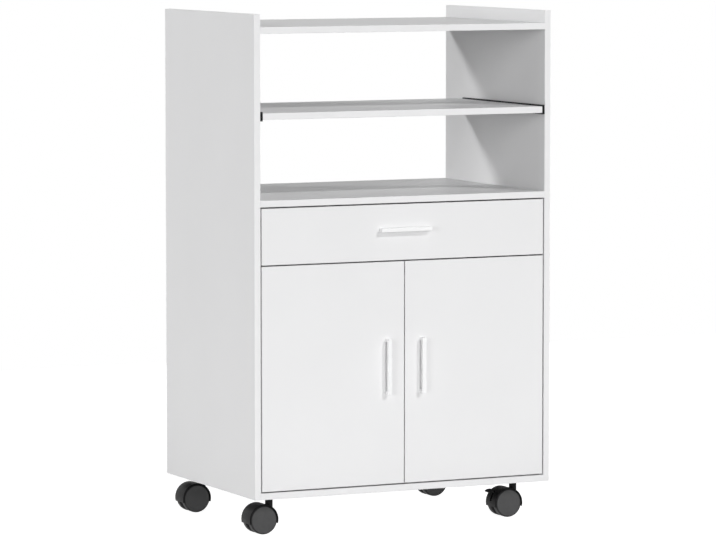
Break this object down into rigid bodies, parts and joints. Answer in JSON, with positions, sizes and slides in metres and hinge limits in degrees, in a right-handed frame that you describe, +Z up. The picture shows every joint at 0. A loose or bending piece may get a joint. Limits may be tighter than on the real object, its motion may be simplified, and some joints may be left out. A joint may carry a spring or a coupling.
{
  "type": "microwave cart",
  "caption": "White kitchen cart on casters with open bays, a pull-out shelf, a drawer and a two-door cupboard.",
  "frame": {"origin": "middle of the whole cart's base on the floor", "axes": "+Z up, front faces -Y, +X is the right side seen from the front"},
  "size_m": [0.6, 0.417, 0.943],
  "materials": {
    "white_board": "particle board with a smooth satin white foil and matching edge band",
    "white_hardboard": "thin hardboard painted white",
    "zinc": "bright zinc die casting",
    "beech": "plain beech dowel",
    "black_rail": "black powder-coated steel runner",
    "white_rail": "white epoxy-coated steel runner",
    "nickel": "nickel-plated pressed steel",
    "screw_steel": "zinc-plated steel",
    "plate_steel": "zinc-plated pressed steel",
    "satin_handle": "satin white-silver coated metal",
    "hood_plastic": "black moulded plastic with a soft gloss",
    "axle_steel": "bright steel pin",
    "wheel_plastic": "satin dark grey moulded nylon"
  },
  "bodies": {
    "carcass": {"left_side_panel": "white_board", "right_side_panel": "white_board", "bottom_panel": "white_board", "fixed_shelf": "white_board", "top_panel": "white_board", "back_panel": "white_hardboard", "cam_locks": "zinc", "cam_bolts": "zinc", "wood_dowels": "beech", "left_shelf_rail": "black_rail", "right_shelf_rail": "black_rail", "left_drawer_rail": "white_rail", "right_drawer_rail": "white_rail", "hinge_plates": "nickel", "hinge_arms": "nickel", "carcass_screws": "screw_steel", "caster_plates": "plate_steel", "caster_screws": "screw_steel"},
    "pullout": {"pullout_shelf": "white_board", "left_shelf_slide": "black_rail", "right_shelf_slide": "black_rail", "shelf_slide_screws": "screw_steel"},
    "drawer": {"drawer_front": "white_board", "drawer_left_side": "white_board", "drawer_right_side": "white_board", "drawer_back": "white_board", "drawer_bottom": "white_hardboard", "drawer_handle": "satin_handle", "left_drawer_slide": "white_rail", "right_drawer_slide": "white_rail", "drawer_screws": "screw_steel", "drawer_cams": "zinc"},
    "left_leaf": {"left_door": "white_board", "left_door_handle": "satin_handle", "left_hinge_cups": "nickel", "left_hinge_pins": "nickel", "left_door_screws": "screw_steel"},
    "right_leaf": {"right_door": "white_board", "right_door_handle": "satin_handle", "right_hinge_cups": "nickel", "right_hinge_pins": "nickel", "right_door_screws": "screw_steel"},
    "front_left_swivel": {"front_left_caster_hood": "hood_plastic", "front_left_axle": "axle_steel"},
    "front_left_roller_a": {"front_left_wheel_a": "wheel_plastic"},
    "front_left_roller_b": {"front_left_wheel_b": "wheel_plastic"},
    "front_right_swivel": {"front_right_caster_hood": "hood_plastic", "front_right_axle": "axle_steel"},
    "front_right_roller_a": {"front_right_wheel_a": "wheel_plastic"},
    "front_right_roller_b": {"front_right_wheel_b": "wheel_plastic"},
    "front_right_pedal": {"front_right_brake": "hood_plastic"},
    "rear_left_swivel": {"rear_left_caster_hood": "hood_plastic", "rear_left_axle": "axle_steel"},
    "rear_left_roller_a": {"rear_left_wheel_a": "wheel_plastic"},
    "rear_left_roller_b": {"rear_left_wheel_b": "wheel_plastic"},
    "rear_right_swivel": {"rear_right_caster_hood": "hood_plastic", "rear_right_axle": "axle_steel"},
    "rear_right_roller_a": {"rear_right_wheel_a": "wheel_plastic"},
    "rear_right_roller_b": {"rear_right_wheel_b": "wheel_plastic"},
    "rear_right_pedal": {"rear_right_brake": "hood_plastic"}
  },
  "joints": [
    {"name": "pullout_slide", "type": "slide", "parent": "carcass", "child": "pullout", "axis": [0, -1, 0], "range_m": [0, 0.23]},
    {"name": "drawer_slide", "type": "slide", "parent": "carcass", "child": "drawer", "axis": [0, -1, 0], "range_m": [0, 0.26]},
    {"name": "left_door_hinge", "type": "hinge", "parent": "carcass", "child": "left_leaf", "pos_m": [-0.2755, -0.1905, 0.28625], "axis": [0, 0, -1], "range_deg": [0, 95]},
    {"name": "right_door_hinge", "type": "hinge", "parent": "carcass", "child": "right_leaf", "pos_m": [0.2755, -0.1905, 0.28625], "axis": [0, 0, 1], "range_deg": [0, 95]},
    {"name": "front_left_swivel_turn", "type": "hinge", "parent": "carcass", "child": "front_left_swivel", "pos_m": [-0.25, -0.1465, 0.05], "axis": [0, 0, 1], "continuous": true},
    {"name": "front_left_wheel_a_spin", "type": "hinge", "parent": "front_left_swivel", "child": "front_left_roller_a", "pos_m": [-0.268, -0.1465, 0.0265], "axis": [0, 1, 0], "continuous": true},
    {"name": "front_left_wheel_b_spin", "type": "hinge", "parent": "front_left_swivel", "child": "front_left_roller_b", "pos_m": [-0.268, -0.1465, 0.0265], "axis": [0, 1, 0], "continuous": true},
    {"name": "front_right_swivel_turn", "type": "hinge", "parent": "carcass", "child": "front_right_swivel", "pos_m": [0.25, -0.1465, 0.05], "axis": [0, 0, 1], "continuous": true},
    {"name": "front_right_wheel_a_spin", "type": "hinge", "parent": "front_right_swivel", "child": "front_right_roller_a", "pos_m": [0.232, -0.1465, 0.0265], "axis": [0, 1, 0], "continuous": true},
    {"name": "front_right_wheel_b_spin", "type": "hinge", "parent": "front_right_swivel", "child": "front_right_roller_b", "pos_m": [0.232, -0.1465, 0.0265], "axis": [0, 1, 0], "continuous": true},
    {"name": "front_right_brake_press", "type": "hinge", "parent": "front_right_swivel", "child": "front_right_pedal", "pos_m": [0.21786, -0.1465, 0.04064], "axis": [0, -1, 0], "range_deg": [0, 14]},
    {"name": "rear_left_swivel_turn", "type": "hinge", "parent": "carcass", "child": "rear_left_swivel", "pos_m": [-0.25, 0.1585, 0.05], "axis": [0, 0, 1], "continuous": true},
    {"name": "rear_left_wheel_a_spin", "type": "hinge", "parent": "rear_left_swivel", "child": "rear_left_roller_a", "pos_m": [-0.268, 0.1585, 0.0265], "axis": [0, 1, 0], "continuous": true},
    {"name": "rear_left_wheel_b_spin", "type": "hinge", "parent": "rear_left_swivel", "child": "rear_left_roller_b", "pos_m": [-0.268, 0.1585, 0.0265], "axis": [0, 1, 0], "continuous": true},
    {"name": "rear_right_swivel_turn", "type": "hinge", "parent": "carcass", "child": "rear_right_swivel", "pos_m": [0.25, 0.1585, 0.05], "axis": [0, 0, 1], "continuous": true},
    {"name": "rear_right_wheel_a_spin", "type": "hinge", "parent": "rear_right_swivel", "child": "rear_right_roller_a", "pos_m": [0.232, 0.1585, 0.0265], "axis": [0, 1, 0], "continuous": true},
    {"name": "rear_right_wheel_b_spin", "type": "hinge", "parent": "rear_right_swivel", "child": "rear_right_roller_b", "pos_m": [0.232, 0.1585, 0.0265], "axis": [0, 1, 0], "continuous": true},
    {"name": "rear_right_brake_press", "type": "hinge", "parent": "rear_right_swivel", "child": "rear_right_pedal", "pos_m": [0.21786, 0.1585, 0.04064], "axis": [0, -1, 0], "range_deg": [0, 14]}
  ]
}
